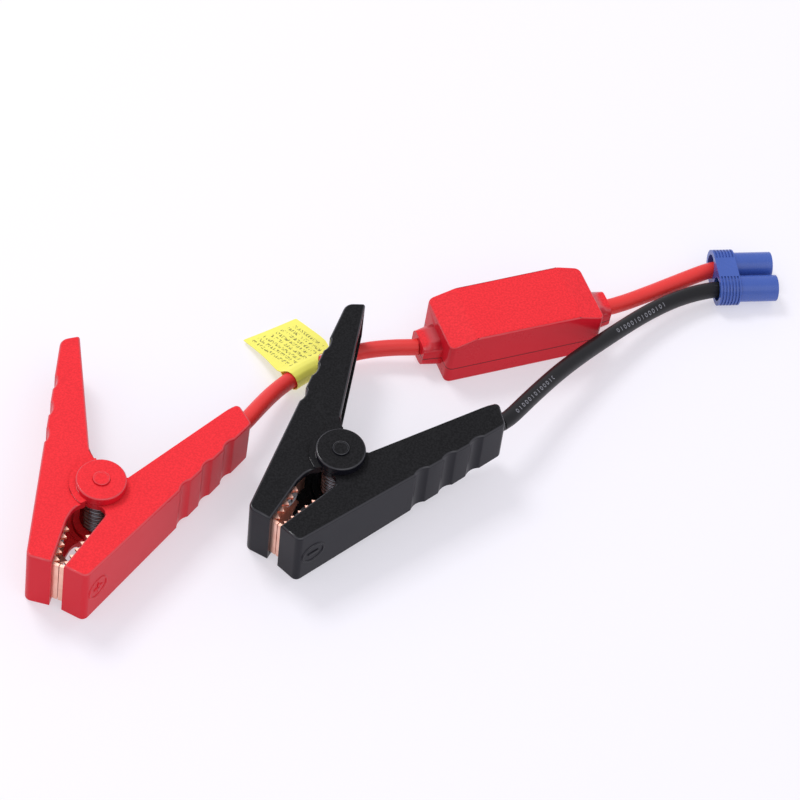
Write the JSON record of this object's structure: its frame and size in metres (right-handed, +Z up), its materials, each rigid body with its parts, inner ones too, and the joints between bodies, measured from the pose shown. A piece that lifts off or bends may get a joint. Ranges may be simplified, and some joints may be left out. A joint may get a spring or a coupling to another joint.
{
  "type": "jumper clamp lead set",
  "caption": "Two spring clamps with copper jaws, wired by short silicone leads through an inline protection module to a two-pole plug.",
  "frame": {"origin": "middle of the footprint of the clamps, module and plug, on the surface they lie on", "axes": "+Z up, +X from the red clamp towards the plug, +Y away from the clamps"},
  "size_m": [0.2296, 0.1982, 0.0291],
  "materials": {
    "red_plastic": "semi-gloss injection moulded, fine grain on the flats",
    "black_plastic": "satin injection moulded, fine grain on the flats",
    "blue_plastic": "glossy moulded nylon",
    "copper": "copper plated sheet steel, satin",
    "gold": "gold plated, bright",
    "spring_steel": "drawn wire, satin",
    "screw_steel": "zinc plated",
    "red_silicone": "soft silicone jacket, satin",
    "black_silicone": "soft silicone jacket, satin",
    "board_green": "solder mask",
    "chip_black": "moulded epoxy",
    "sleeve_grey": "shrink sleeve with aluminium top",
    "label_yellow": "vinyl, slightly glossy"
  },
  "bodies": {
    "root": {"red_fixed_lever": "red_plastic", "red_pivot_pin": "red_plastic", "red_torsion_spring": "spring_steel", "red_fixed_jaw": "copper", "red_fixed_jaw_screw": "screw_steel", "red_cable_lug": "copper", "red_lug_screw": "screw_steel", "red_inner_lead": "red_silicone", "black_fixed_lever": "black_plastic", "black_pivot_pin": "black_plastic", "black_torsion_spring": "spring_steel", "black_fixed_jaw": "copper", "black_fixed_jaw_screw": "screw_steel", "black_cable_lug": "copper", "black_lug_screw": "screw_steel", "black_inner_lead": "black_silicone", "module_top_cover": "red_plastic", "module_bottom_cover": "red_plastic", "circuit_board": "board_green", "power_transistors": "chip_black", "controller_chip": "chip_black", "capacitor": "sleeve_grey", "terminal_tabs": "copper", "module_leads": "red_silicone", "lead_conductors": "copper", "plug_housing": "blue_plastic", "positive_contact": "gold", "negative_contact": "gold", "red_cable_front": "red_silicone", "red_cable_rear": "red_silicone", "black_cable": "black_silicone", "caution_label": "label_yellow"},
    "red_moving": {"red_moving_lever": "red_plastic", "red_moving_jaw": "copper", "red_moving_jaw_screw": "screw_steel"},
    "black_moving": {"black_moving_lever": "black_plastic", "black_moving_jaw": "copper", "black_moving_jaw_screw": "screw_steel"}
  },
  "joints": [
    {"name": "red_clamp_hinge", "type": "hinge", "parent": "root", "child": "red_moving", "pos_m": [-0.0903, -0.0641, 0], "axis": [0, 0, -1], "range_deg": [0, 36], "stiffness_Nm_per_rad": 0.6, "springref_deg": -45.84, "deforming": ["red_torsion_spring"]},
    {"name": "black_clamp_hinge", "type": "hinge", "parent": "root", "child": "black_moving", "pos_m": [-0.0195, -0.0352, 0.0025], "axis": [0.0338, 0.065, -0.9973], "range_deg": [0, 36], "stiffness_Nm_per_rad": 0.6, "springref_deg": -45.84, "deforming": ["black_torsion_spring"]}
  ]
}
